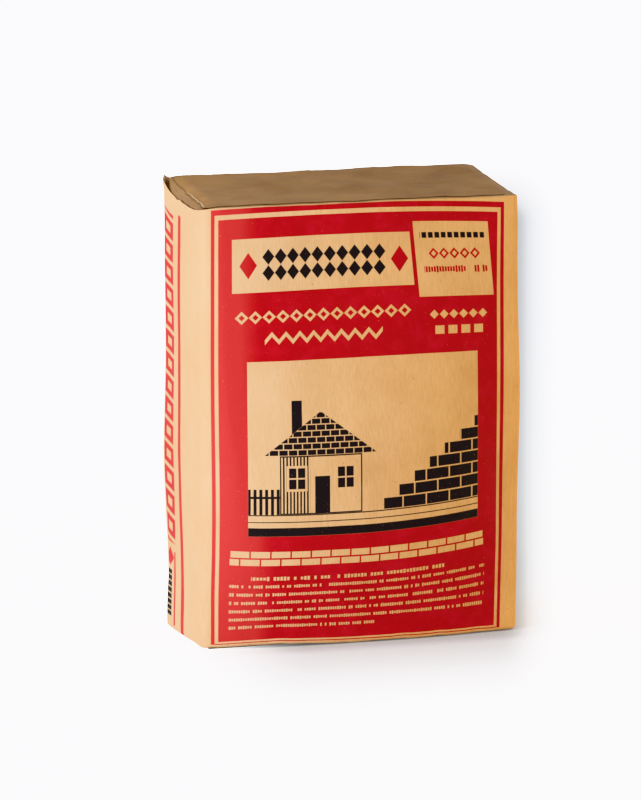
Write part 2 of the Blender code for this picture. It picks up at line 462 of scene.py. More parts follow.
# %% [markdown]
# ## Where the print lies
# The sack was printed flat and then filled, so the print follows the paper. Each point of the
# skin carries its place on the flat print: how far it is from the middle line of the front,
# how far along the side wall, and how high. Filling has pulled the print a little askew: its
# upright lines lean, and its right part rides up low down and sags near the top.

# %% Print coordinates
PRINT_LEAN = 0.007
PRINT_RIDES_UP = 8.5 * MM
PRINT_SAGS = 4.5 * MM
PRINT_LEFT_RISE, PRINT_LEFT_FALL = 1.8 * MM, 0.6 * MM
PRINT_SQUEEZE = 2.6 * MM
SIDE_PRINT_BOW, SIDE_PRINT_FOOT = 4.5 * MM, 22.0 * MM


def flat_place(u, v, plain):
    """(distance from the front's middle line, distance along the depth, height) on flat paper.

    The print's shift in height is a power of the distance to the right, times a share that
    changes smoothly from riding up at the lower rows to sagging at the upper ones. Low down,
    the left border lies closer to the picture, and the side's print bows towards the front."""
    height = plain[:, 2]
    right_part = np.clip(u / 0.8, 0.0, None) ** 1.8
    left_part = np.clip(-u / 0.8, 0.0, None) ** 4
    rides_up = PRINT_RIDES_UP * step(height, 10 * MM, 80 * MM) * (1.0 - step(height, 100 * MM, 330 * MM))
    sags = PRINT_SAGS * step(height, 200 * MM, 460 * MM)
    left_rise = PRINT_LEFT_RISE * step(height, 20 * MM, 80 * MM) * (1.0 - step(height, 200 * MM, 330 * MM))
    left_rise -= PRINT_LEFT_FALL * step(height, 330 * MM, 460 * MM)
    shift = (rides_up - sags) * right_part + left_rise * left_part
    lean = PRINT_LEAN * (height - 250 * MM)
    squeeze = PRINT_SQUEEZE * step(-u, 0.72, 0.95) * (1.0 - step(height, 80 * MM, 330 * MM))
    bow = SIDE_PRINT_BOW * bell(height, 250 * MM, 190 * MM) + SIDE_PRINT_FOOT * (1.0 - step(height, 20 * MM, 210 * MM))
    along_side = HALF_DEPTH * v + bow * step(v, -0.9, -0.5)
    return np.stack([HALF_WIDTH * u - lean - squeeze, along_side, height - shift], -1)


# %% [markdown]
# ## The skin
# Now the lattice is laid out with its extra lines near the folds and beside the valve gap,
# placed by the form, and made a mesh.

# %% The skin of the sack
PITCH = 3.0 * MM
FOLD_LINES = np.array([0.0, 0.5, 1.2, 2.2, 3.6, 5.4, 7.6, 10.0]) * MM
GAP_LINES = np.array([0.0, 0.35, 0.7, 0.85, 1.4, 2.1, 2.6, 3.3, 4.6, 6.4, 8.6, 11.0]) * MM


def sack_lattice(pitch, left_lines, fold_lines):
    """Lattice positions u, v, t of the sack's surface points, and its quads."""
    lines_u = 2.0 * lattice_lines(WIDTH, pitch, left_lines, fold_lines) / WIDTH - 1.0
    lines_v = 2.0 * lattice_lines(DEPTH, pitch, fold_lines, fold_lines) / DEPTH - 1.0
    lines_t = lattice_lines(HEIGHT, pitch, fold_lines, fold_lines) / HEIGHT
    (i, j, k), quads = block_lattice(len(lines_u), len(lines_v), len(lines_t))
    return lines_u[i], lines_v[j], lines_t[k], quads


def make_skin():
    u, v, t, quads = sack_lattice(PITCH, GAP_LINES, FOLD_LINES)
    points, facing = sack_points(u, v, t)
    plain, _ = block_form(u, v, t)
    lip, gap = lip_and_gap(u, v)
    near_top = step(t * HEIGHT, HEIGHT - 3 * MM, HEIGHT)
    points[:, 2] += lip * near_top
    points[:, 0] -= EAR_LEAN * lip / EAR_RISE * step(t * HEIGHT, HEIGHT - 8 * MM, HEIGHT)
    points[:, 2] -= gap * GAP_DEPTH * (t >= 1.0)
    flat = flat_place(u, v, plain)
    from_rim = np.minimum(HEIGHT * (1 - t), HEIGHT * t)
    from_edge = np.minimum(HALF_WIDTH * (1 - np.abs(u)), HALF_DEPTH * (1 - np.abs(v)))
    upright = np.maximum(HALF_WIDTH * (1 - np.abs(u)), HALF_DEPTH * (1 - np.abs(v)))
    fold = np.exp(-(from_rim + from_edge) / (3.0 * MM)) + 0.6 * np.exp(-upright / (5.0 * MM))
    marks = np.stack([np.clip(fold, 0, 1), gap * (t >= 1.0), facing[:, 2]], -1)
    return make_mesh("paper_skin", points, quads, (("flat", flat), ("marks", marks)))


skin = make_skin()
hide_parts("paper_sack")

# %% [markdown]
# ## The strips over the ends
# Each folded end is closed by a glued strip of darker paper. The top strip is its own thin
# sheet that follows the uneven top, with soft glue wrinkles and slightly wavy edges. Its left
# end runs askew to the valve and rolls up a little. It is a very flat block lattice, so it has
# a real edge that catches the light.

# %% Top and bottom strips
STRIP_LOW, STRIP_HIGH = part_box("top_cover_strip")
STRIP_PAPER = 0.35 * MM
STRIP_LIFT = 0.25 * MM
EDGE_WAVER = 0.8 * MM
LEFT_END_AT_FRONT, LEFT_END_SLANT = -4.0 * MM, 7.5 * MM
LEFT_END_ROLL = 0.9 * MM
PUCKERS = 0.25 * MM
PUCKER_REACH = 4.0 * MM
STRIP_LINES = np.array([0.0, 0.7, 1.4, 2.2, 3.2, 4.6, 6.4]) * MM


def strip_outline(u, v, low, high):
    """A rectangle whose edges waver by a slow wave along each edge."""
    along_x = waves(np.stack([u, v, 0 * u], -1) * HALF_WIDTH, (0.09, 0.09, 0.09), seed=31)
    along_y = waves(np.stack([u, v, 0 * u], -1) * HALF_WIDTH, (0.07, 0.07, 0.07), seed=32)
    half_x, half_y = (high[0] - low[0]) / 2, (high[1] - low[1]) / 2
    x = u * half_x + EDGE_WAVER * along_y * np.sign(u) * np.abs(u) ** 8
    y = v * half_y + EDGE_WAVER * along_x * np.sign(v) * np.abs(v) ** 8
    return x, y


def top_surface(x, y):
    """The height of the skin's top at any place: its level, its lift and its relief."""
    level = np.stack([x, y, np.full_like(x, TOP)], -1)
    upwards = np.zeros_like(level)
    upwards[:, 2] = 1.0
    return TOP + relief(level, upwards) + top_lift(x, y)


def make_top_strip():
    length, width = STRIP_HIGH.x - STRIP_LOW.x, STRIP_HIGH.y - STRIP_LOW.y
    lines_u = 2.0 * lattice_lines(length, PITCH, STRIP_LINES, STRIP_LINES) / length - 1.0
    lines_v = 2.0 * lattice_lines(width, PITCH, STRIP_LINES, STRIP_LINES) / width - 1.0
    (i, j, k), quads = block_lattice(len(lines_u), len(lines_v), 2)
    u, v = lines_u[i], lines_v[j]
    x, y = strip_outline(u, v, STRIP_LOW, STRIP_HIGH)
    x += (LEFT_END_AT_FRONT + LEFT_END_SLANT * step(v, -1.4, 0.4)) * step(-u, 0.8, 1.0)
    from_ends, from_sides = (1 - np.abs(u)) * length / 2, (1 - np.abs(v)) * width / 2
    rim = np.exp(-from_ends / PUCKER_REACH) + np.exp(-from_sides / PUCKER_REACH)
    puckers = PUCKERS * np.abs(waves(np.stack([x, y, 0 * x], -1), (0.012, 0.03, 1.0), seed=41)) * rim
    rolled = (u < 0) * (1.0 - step(v, 0.05, 0.35))
    end_roll = LEFT_END_ROLL * bell(from_ends, 1.5 * MM, 3.5 * MM) * rolled
    z = top_surface(x, y) + STRIP_LIFT + puckers + end_roll + k * STRIP_PAPER
    edge = np.stack([np.minimum(from_ends + 10 * (u > 0), from_sides), from_ends + 10 * (u > 0), rolled], -1)
    return make_mesh("top_paper_strip", np.stack([x, y, z], -1), quads, (("edge", edge),))


top_strip = make_top_strip()
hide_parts("top_cover_strip")

FOOT_LOW, FOOT_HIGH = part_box("bottom_cover_strip")


def make_foot_strip():
    """The lower strip: a flat sheet on the floor, its left end cut back like the tucked corner."""
    length, width = FOOT_HIGH.x - FOOT_LOW.x, FOOT_HIGH.y - FOOT_LOW.y
    lines_u = 2.0 * lattice_lines(length, PITCH, STRIP_LINES, STRIP_LINES) / length - 1.0
    lines_v = 2.0 * lattice_lines(width, PITCH, STRIP_LINES, STRIP_LINES) / width - 1.0
    (i, j, k), quads = block_lattice(len(lines_u), len(lines_v), 2)
    u, v = lines_u[i], lines_v[j]
    x, y = strip_outline(u, v, FOOT_LOW, FOOT_HIGH)
    x += np.clip(foot_askew(u, y / HALF_DEPTH), 0.0, None)
    z = np.where(k > 0, FOOT_HIGH.z, FOOT_LOW.z)
    return make_mesh("foot_paper_strip", np.stack([x, y, z], -1), quads)


foot_strip = make_foot_strip()
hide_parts("bottom_cover_strip")

# %% [markdown]
# ## The filling sleeve
# The sleeve is a flat paper tube that lies under the top's left end. When the sack is full the
# cement presses it shut, so only its two lips show, deep in the gap beside the side wall.

# %% Filling sleeve
SLEEVE_LOW, SLEEVE_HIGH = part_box("valve_sleeve")
SLEEVE_OPENING = 0.5 * MM
SLEEVE_UNDER_TOP = 2.4 * MM


def make_sleeve():
    """A flat ring of paper swept from the gap into the sack: its section is a flat loop, and
    each station follows the top's height."""
    stations, around = 40, 72
    turn = np.linspace(0, 2 * math.pi, around, endpoint=False)
    along = np.linspace(SLEEVE_LOW.x + 2.2 * MM, SLEEVE_HIGH.x, stations)
    half = (SLEEVE_HIGH.y - SLEEVE_LOW.y) / 2
    walls = []
    for inset in (0.0, 0.15 * MM):
        across = np.sign(np.cos(turn)) * np.abs(np.cos(turn)) ** 0.35 * (half - inset)
        height = np.sin(turn) * (SLEEVE_OPENING - inset)
        x, y = np.meshgrid(along, across, indexing="ij")
        z = top_surface(x.ravel(), y.ravel()) - SLEEVE_UNDER_TOP + np.tile(height, stations)
        walls.append(np.stack([x.ravel(), y.ravel(), z], -1))
    count = stations * around
    first = np.arange(count).reshape(stations, around)
    follow = np.roll(first, -1, axis=1)
    outer = np.stack([first[:-1], follow[:-1], follow[1:], first[1:]], -1).reshape(-1, 4)
    inner = outer[:, ::-1] + count
    mouth = np.stack([first[0], first[0] + count, follow[0] + count, follow[0]], -1)
    tail = np.stack([first[-1], follow[-1], follow[-1] + count, first[-1] + count], -1)
    return make_mesh("filling_sleeve", np.concatenate(walls), np.concatenate([outer, inner, mouth, tail]))


sleeve = make_sleeve()
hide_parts("valve_sleeve")

# %% [markdown]
# ## The cement
# The cement fills the paper all round. Its form is the same function as the skin's, drawn in
# a little, on a coarser lattice.

# %% Cement inside
CHARGE_INSET = 3.2 * MM
CHARGE_UNDER_SLEEVE = 5.5 * MM


def make_charge():
    ends = np.array([0.0, 4.0, 9.0]) * MM
    u, v, t, quads = sack_lattice(8.0 * MM, ends, ends)
    points, _ = sack_points(u, v, t, CHARGE_INSET)
    x = points[:, 0]
    near_sleeve = 1.0 - step(x, SLEEVE_HIGH.x, SLEEVE_HIGH.x + 20 * MM)
    points[:, 2] -= CHARGE_UNDER_SLEEVE * near_sleeve * step(t, 0.97, 1.0)
    return make_mesh("cement_charge", points, quads)


charge = make_charge()
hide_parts("cement_fill")

# %% [markdown]
# ## A short way to write shader nodes
# Inks on paper are shapes, and a shape is a distance: negative inside, positive outside.
# Distances combine by minimum and maximum, so whole prints can be written as arithmetic. This
# helper adds one node for each call, and takes numbers or other nodes' outputs.

# %% Shader wiring
class Wiring:
    """Adds nodes to one tree. An input is a number, a tuple or another node's output."""

    def __init__(self, tree):
        self.tree = tree

    def node(self, kind, inputs=(), output=0, **settings):
        made = self.tree.nodes.new(kind)
        for name, value in settings.items():
            setattr(made, name, value)
        for key, value in dict(inputs).items():
            if isinstance(value, bpy.types.NodeSocket):
                self.tree.links.new(value, made.inputs[key])
            else:
                made.inputs[key].default_value = value
        return made.outputs[output]

    def math(self, operation, *values, clamp=False):
        return self.node("ShaderNodeMath", enumerate(values), operation=operation, use_clamp=clamp)

    def lowest(self, *values):
        result = values[0]
        for value in values[1:]:
            result = self.math("MINIMUM", result, value)
        return result

    def highest(self, *values):
        result = values[0]
        for value in values[1:]:
            result = self.math("MAXIMUM", result, value)
        return result

    def times(self, *values):
        result = values[0]
        for value in values[1:]:
            result = self.math("MULTIPLY", result, value)
        return result

    def mix(self, share, first, second):
        return self.node(
            "ShaderNodeMix", {0: share, 6: first, 7: second}, output=2, data_type="RGBA"
        )

    def noise(self, vector, scale, detail=2.0, roughness=0.5):
        inputs = {"Vector": vector, "Scale": scale, "Detail": detail, "Roughness": roughness}
        return self.node("ShaderNodeTexNoise", inputs)

    def spread(self, value, low, high, to_low=0.0, to_high=1.0):
        inputs = {0: value, 1: low, 2: high, 3: to_low, 4: to_high}
        return self.node("ShaderNodeMapRange", inputs, interpolation_type="SMOOTHSTEP")

    def parts(self, vector):
        made = self.tree.nodes.new("ShaderNodeSeparateXYZ")
        self.tree.links.new(vector, made.inputs[0])
        return made.outputs


def start_group(name, inputs, outputs):
    """An empty shader node group with named vector inputs and value outputs."""
    tree = bpy.data.node_groups.new(name, "ShaderNodeTree")
    for title, kind in inputs:
        tree.interface.new_socket(name=title, in_out="INPUT", socket_type=kind)
    for title in outputs:
        tree.interface.new_socket(name=title, in_out="OUTPUT", socket_type="NodeSocketFloat")
    entry = tree.nodes.new("NodeGroupInput")
    leave = tree.nodes.new("NodeGroupOutput")
    return tree, entry.outputs, leave.inputs


def use_group(wiring, tree, inputs):
    made = wiring.tree.nodes.new("ShaderNodeGroup")
    made.node_tree = tree
    for key, value in inputs.items():
        if isinstance(value, bpy.types.NodeSocket):
            wiring.tree.links.new(value, made.inputs[key])
        else:
            made.inputs[key].default_value = value
    return made.outputs


def box_distance(w, p, q, left, right, low, high):
    """Distance from a rectangle: the larger of |p - middle| - half and |q - middle| - half."""
    off_p = w.math("ABSOLUTE", w.math("SUBTRACT", p, (left + right) / 2))
    off_q = w.math("ABSOLUTE", w.math("SUBTRACT", q, (low + high) / 2))
    return w.highest(
        w.math("SUBTRACT", off_p, (right - left) / 2), w.math("SUBTRACT", off_q, (high - low) / 2)
    )


def ink(w, distance, softness=0.25 * MM):
    """1 inside a shape and 0 outside, over an edge as soft as ink on kraft paper."""
    return w.math("MULTIPLY_ADD", distance, -0.5 / softness, 0.5, clamp=True)


# %% [markdown]
# ## The floor's painted glow and shadow
# The sheet has a painted glow that only the lens sees, as if lit from below, and round the sack
# the glow fades into a painted soft shadow, which lies in front of the sack and along its right
# side. A place on the floor is first turned into distances across and up at the sack, as the
# lens sees it. The painted shadow is then a distance from a box there, like any other shape.

# %% Material: floor with painted glow and shadow
GLOW, GLOW_RISE = 2.2, 2.4
GLOW_BEHIND, GLOW_BEFORE = 0.10, 0.31
SHADOW_LEFT, SHADOW_RIGHT, SHADOW_TOP, SHADOW_FRONT = 0.0, 188 * MM, 185 * MM, -94 * MM
SHADOW_REACH, SHADOW_LEFT_FADE = 62 * MM, 0.45


def floor_with_painted_glow():
    """A matt white sheet, which the camera's own rays see greyer and with a painted glow: a least
    glow, more of it before the sack, and a power of the distance from the painted shadow over its reach."""
    sheet = bpy.data.materials.new("matt_floor_painted_glow_shadow")
    sheet.use_nodes = True
    w = Wiring(sheet.node_tree)
    shader = sheet.node_tree.nodes["Principled BSDF"]
    rays = w.node("ShaderNodeLightPath")
    w.tree.links.new(w.mix(rays, (0.74, 0.75, 0.76, 1.0), (0.455, 0.495, 0.505, 1.0)), shader.inputs["Base Color"])
    shader.inputs["Roughness"].default_value = 0.95
    shader.inputs["Emission Color"].default_value = (1.0, 0.98, 1.0, 1.0)

    turn, rise = math.radians(CAMERA_AZIMUTH), math.radians(CAMERA_ELEVATION)
    right = (math.cos(turn), math.sin(turn), 0.0)
    upwards = (-math.sin(turn) * math.sin(rise), math.cos(turn) * math.sin(rise), math.cos(rise))
    away = (-math.sin(turn) * math.cos(rise), math.cos(turn) * math.cos(rise), -math.sin(rise))
    place = w.node("ShaderNodeTexCoord", output=3)
    from_aim = w.node("ShaderNodeVectorMath", {0: place, 1: tuple(CAMERA_AIM)}, operation="SUBTRACT")

    def along(direction):
        return w.node("ShaderNodeVectorMath", {0: from_aim, 1: direction}, output=1, operation="DOT_PRODUCT")

    nearness = w.math("DIVIDE", CAMERA_DISTANCE, w.math("ADD", along(away), CAMERA_DISTANCE))
    across, up = w.times(along(right), nearness), w.times(along(upwards), nearness)
    to_left = w.math("MULTIPLY", w.math("SUBTRACT", SHADOW_LEFT, across), SHADOW_LEFT_FADE)
    beside = w.highest(w.math("SUBTRACT", across, SHADOW_RIGHT), to_left, 0.0)
    before = w.math("MULTIPLY", w.math("SUBTRACT", SHADOW_FRONT, w.parts(place)[1]), math.sin(rise))
    outside = w.highest(w.math("SUBTRACT", up, SHADOW_TOP), before, 0.0)
    distance = w.math("SQRT", w.math("ADD", w.times(beside, beside), w.times(outside, outside)))
    # painted shadow and glow: the glow, seen by camera rays only, grows with the distance from the shadow's box
    share = w.math("POWER", w.math("MULTIPLY", distance, 1.0 / SHADOW_REACH, clamp=True), GLOW_RISE)
    least = w.spread(before, 0.0, 8 * MM, GLOW_BEHIND, GLOW_BEFORE)
    glow = w.times(w.math("MULTIPLY_ADD", share, GLOW, least), rays)
    w.tree.links.new(glow, shader.inputs["Emission Strength"])
    return sheet


floor.data.materials.append(floor_with_painted_glow())

# %% [markdown]
# ## Kraft paper
# Kraft is brown, slightly glossy paper. Its fibres run up the tube and give fine streaks, its
# tone is cloudy, and single dark fibres and pale specks lie in it. The effect is one group,
# because every sheet of the sack shows it.

# %% Group: kraft fibre
def kraft_fibre_group():
    tree, given, result = start_group(
        "kraft_fibre",
        (("Place", "NodeSocketVector"),),
        ("Streaks", "Clouds", "Specks", "Height"),
    )
    w = Wiring(tree)
    along = w.node("ShaderNodeMapping", {"Vector": given[0], "Scale": (900.0, 900.0, 60.0)})
    streaks = w.noise(along, 1.0, 3.0, 0.6)
    clouds = w.noise(given[0], 14.0, 4.0, 0.55)
    grain = w.noise(given[0], 1500.0, 2.0, 0.6)
    specks = w.spread(w.noise(given[0], 420.0, 1.0), 0.745, 0.79)
    w.tree.links.new(streaks, result[0])
    w.tree.links.new(clouds, result[1])
    w.tree.links.new(specks, result[2])
    w.tree.links.new(w.math("MULTIPLY_ADD", streaks, 0.6, w.math("MULTIPLY", grain, 0.4)), result[3])
    return tree


kraft_fibre = kraft_fibre_group()

# %% [markdown]
# ## Ornaments for a print
# A printed pattern is a shape that repeats. When the place along a row is wrapped into one
# repeat first, a single distance draws the whole row. The ornaments here are common ones:
# bricks in running bond, lozenges, a zigzag, and rows of small marks as fine as small print.

# %% Ornaments as distances
def wrapped(w, value, pitch):
    """The place within one repeat, from -pitch/2 to pitch/2."""
    return w.math("WRAP", value, pitch / 2, -pitch / 2)


def beyond(w, value, half):
    """How far |value| is past half."""
    return w.math("SUBTRACT", w.math("ABSOLUTE", value), half)


def without(w, distance, hole):
    """A shape with another one cut out of it."""
    return w.highest(distance, w.math("MULTIPLY", hole, -1.0))


def outlined(w, distance, line):
    """The rim of a shape, line wide, inside its edge."""
    return w.highest(distance, w.math("MULTIPLY_ADD", distance, -1.0, -line))


def lozenge(w, p, q, half_p, half_q):
    """Distance from a lozenge at the origin: |p| b + |q| a - a b, over its side's length."""
    side = math.hypot(half_p, half_q)
    across = w.math("MULTIPLY", w.math("ABSOLUTE", p), half_q / side)
    return w.math("ADD", across, w.math("MULTIPLY_ADD", w.math("ABSOLUTE", q), half_p / side, -half_p * half_q / side))


def zigzag(w, p, q, middle, pitch, rise, stroke):
    """Distance from a zigzag line, whose height is |place in the repeat| times its slope."""
    slope = 2 * rise / pitch
    line = w.math("MULTIPLY_ADD", w.math("ABSOLUTE", wrapped(w, p, pitch)), slope, middle - rise / 2)
    return beyond(w, w.math("DIVIDE", w.math("SUBTRACT", q, line), math.hypot(1.0, slope)), stroke / 2)


def bars(w, p, q, middle, pitch, length, height):
    """Distance from a row of equal bars."""
    return w.highest(
        beyond(w, wrapped(w, p, pitch), length / 2), beyond(w, w.math("SUBTRACT", q, middle), height / 2)
    )


def courses(w, p, q, low, length, height, joint):
    """Distance from bricks in running bond: each row starts half a brick further on."""
    above = w.math("SUBTRACT", q, low)
    row = w.math("FLOOR", w.math("DIVIDE", above, height))
    along = wrapped(w, w.math("MULTIPLY_ADD", row, length / 2, p), length)
    upward = wrapped(w, w.math("SUBTRACT", above, height / 2), height)
    return w.highest(beyond(w, along, (length - joint) / 2), beyond(w, upward, (height - joint) / 2))


def fine_marks(w, p, q, low, row_pitch, mark_pitch, height, seed):
    """Distance from rows of small upright marks that are no letters.

    A white noise of the row's and the mark's number drops some marks, which leaves gaps as
    between words, and sets the height of the others."""
    above = w.math("SUBTRACT", q, low)
    row = w.math("FLOOR", w.math("DIVIDE", above, row_pitch))
    mark = w.math("FLOOR", w.math("DIVIDE", p, mark_pitch))
    number = w.node("ShaderNodeCombineXYZ", {0: mark, 1: row, 2: seed})
    chance = w.node("ShaderNodeTexWhiteNoise", {"Vector": number})
    dropped = w.math("LESS_THAN", chance, 0.16)
    half = w.math("MULTIPLY_ADD", chance, 0.22 * height, 0.30 * height)
    upward = w.math("ABSOLUTE", wrapped(w, w.math("SUBTRACT", above, row_pitch / 2), row_pitch))
    along = beyond(w, wrapped(w, w.math("SUBTRACT", p, mark_pitch / 2), mark_pitch), 0.36 * mark_pitch)
    return w.highest(along, w.math("SUBTRACT", upward, half), w.math("SUBTRACT", dropped, 0.5))


# %% [markdown]
# ## The picture window
# The window shows building work: a fence, a plain house with a tiled roof, a wall of blocks
# that climbs in steps, and level dark ground. It is put together from the same few ornaments.

# %% The picture as distances
WINDOW = (-124 * MM, 127 * MM, 121 * MM, 306 * MM)
GROUND_TOP, KERB_LINE, GROUND_LINE = (WINDOW[2] + rise for rise in (9 * MM, 15 * MM, 23 * MM))
BLOCK = (26 * MM, 13 * MM)
BLOCK_JOINT = 1.5 * MM
WALL_LENGTH, WALL_STEP = 106 * MM, 17 * MM
HOUSE_MIDDLE, HOUSE_HALF, EAVES = 50 * MM, 44 * MM, 206 * MM
ROOF_RISE, ROOF_SLOPE = 46 * MM, 0.76
TILE = (10 * MM, 6.5 * MM)


def stepped_wall(w, p, q):
    row = w.math("FLOOR", w.math("DIVIDE", w.math("SUBTRACT", q, GROUND_LINE), BLOCK[1]))
    steps = w.math("MULTIPLY_ADD", row, WALL_STEP, w.math("SUBTRACT", p, WINDOW[0] + WALL_LENGTH))
    blocks = courses(w, p, q, GROUND_LINE, *BLOCK, BLOCK_JOINT)
    return w.highest(blocks, steps, w.math("SUBTRACT", GROUND_LINE, q))


def sash(w, p, q, middle_p, middle_q):
    """A window of the house: a dark box with a pale cross."""
    off_p, off_q = w.math("SUBTRACT", p, middle_p), w.math("SUBTRACT", q, middle_q)
    box = w.highest(beyond(w, off_p, 8.5 * MM), beyond(w, off_q, 11 * MM))
    cross = w.lowest(beyond(w, off_p, 0.8 * MM), beyond(w, off_q, 0.8 * MM))
    return without(w, box, cross)


def house(w, p, q):
    off = w.math("SUBTRACT", p, HOUSE_MIDDLE)
    left, right = HOUSE_MIDDLE - HOUSE_HALF, HOUSE_MIDDLE + HOUSE_HALF
    walls = outlined(w, box_distance(w, p, q, left, right, GROUND_LINE, EAVES), 1.4 * MM)
    shade = w.highest(
        box_distance(w, p, q, HOUSE_MIDDLE + 12 * MM, right, GROUND_LINE, EAVES),
        beyond(w, wrapped(w, p, 3.6 * MM), 0.9 * MM),
    )
    panes = [sash(w, p, q, HOUSE_MIDDLE + side * 26 * MM, EAVES - 24 * MM) for side in (-1, 1)]
    frames = [
        box_distance(w, p, q, middle - 11 * MM, middle + 11 * MM, EAVES - 37.5 * MM, EAVES - 10.5 * MM)
        for middle in (HOUSE_MIDDLE - 26 * MM, HOUSE_MIDDLE + 26 * MM)
    ]
    shade = without(w, shade, frames[1])
    door = box_distance(w, p, q, HOUSE_MIDDLE - 9 * MM, HOUSE_MIDDLE + 7 * MM, GROUND_LINE, GROUND_LINE + 40 * MM)
    gable = w.math("MULTIPLY_ADD", w.math("ABSOLUTE", off), ROOF_SLOPE, w.math("SUBTRACT", q, EAVES + ROOF_RISE))
    roof = w.highest(w.math("DIVIDE", gable, math.hypot(1.0, ROOF_SLOPE)), w.math("SUBTRACT", EAVES, q))
    tiles = w.highest(roof, courses(w, p, q, EAVES, *TILE, 1.1 * MM))
    chimney = box_distance(w, off, q, 20 * MM, 31 * MM, EAVES + 20 * MM, EAVES + 58 * MM)
    chimney = without(w, chimney, roof)
    return w.lowest(walls, shade, *panes, door, tiles, chimney)


def fence(w, p, q):
    left = HOUSE_MIDDLE + HOUSE_HALF
    pales = w.highest(
        box_distance(w, p, q, left, WINDOW[1], GROUND_LINE, GROUND_LINE + 27 * MM),
        beyond(w, wrapped(w, p, 6 * MM), 1.6 * MM),
    )
    rail = box_distance(w, p, q, left, WINDOW[1], GROUND_LINE + 17 * MM, GROUND_LINE + 19.5 * MM)
    return w.lowest(pales, rail)


def picture(w, p, q):
    """The place across is turned about the window's middle, to left + right - p, so that the
    wall climbs towards the right edge. The ground is dark below a straight kerb."""
    p = w.math("SUBTRACT", WINDOW[0] + WINDOW[1], p)
    ground = w.math("SUBTRACT", q, GROUND_TOP)
    kerb = beyond(w, w.math("SUBTRACT", q, KERB_LINE), 0.5 * MM)
    edge = box_distance(w, p, q, WINDOW[0], WINDOW[1], GROUND_LINE - 1.2 * MM, GROUND_LINE)
    return w.lowest(ground, kerb, edge, stepped_wall(w, p, q), house(w, p, q), fence(w, p, q))


# %% [markdown]
# ## The front's print
# The front has a red panel inside a thin red border. Kraft shows through it in a plate, a
# label, the picture window and rows of ornament, where a sack has its name, its data and its
# directions. No words are printed: harlequin lozenges, zigzags, a course of bricks and fine
# marks of like size hold their places.

# %% Group: print on the front
BORDER_OUTSIDE = (-161.5 * MM, 155.2 * MM, 5.3 * MM, 468.6 * MM)
BORDER_INSIDE = (-157.7 * MM, 152.2 * MM, 6.4 * MM, 462.6 * MM)
PANEL = (-154.0 * MM, 149.2 * MM, 8.2 * MM, 457.6 * MM)
SLANT, SLANT_ABOUT = 0.09, 407 * MM
PLATE = (-139.5 * MM, 80 * MM, 379 * MM, 436 * MM)
PLATE_RIGHT = 55.4 * MM
LABEL = (59.8 * MM, 142.2 * MM, 366 * MM, 447 * MM)
TITLE = (-143 * MM, 134 * MM, 88.5 * MM, 105.5 * MM)
HEADING = (-137 * MM, 54.5 * MM, 346 * MM, 359.5 * MM)
SECOND_ROW = (-105 * MM, 22.5 * MM, 323.5 * MM, 337 * MM)
RIGHT_ROW = (74 * MM, 139 * MM, 342 * MM, 352 * MM)
RIGHT_SECOND_ROW = (79 * MM, 136 * MM, 324 * MM, 337 * MM)
STANDARD_ROW = (-120 * MM, 90 * MM, 72.5 * MM, 78 * MM)
PARAGRAPH = (-143 * MM, 136 * MM, 18.5 * MM, 71 * MM)
LAST_ROW_END = 14 * MM


def middle_of(area):
    return (area[2] + area[3]) / 2


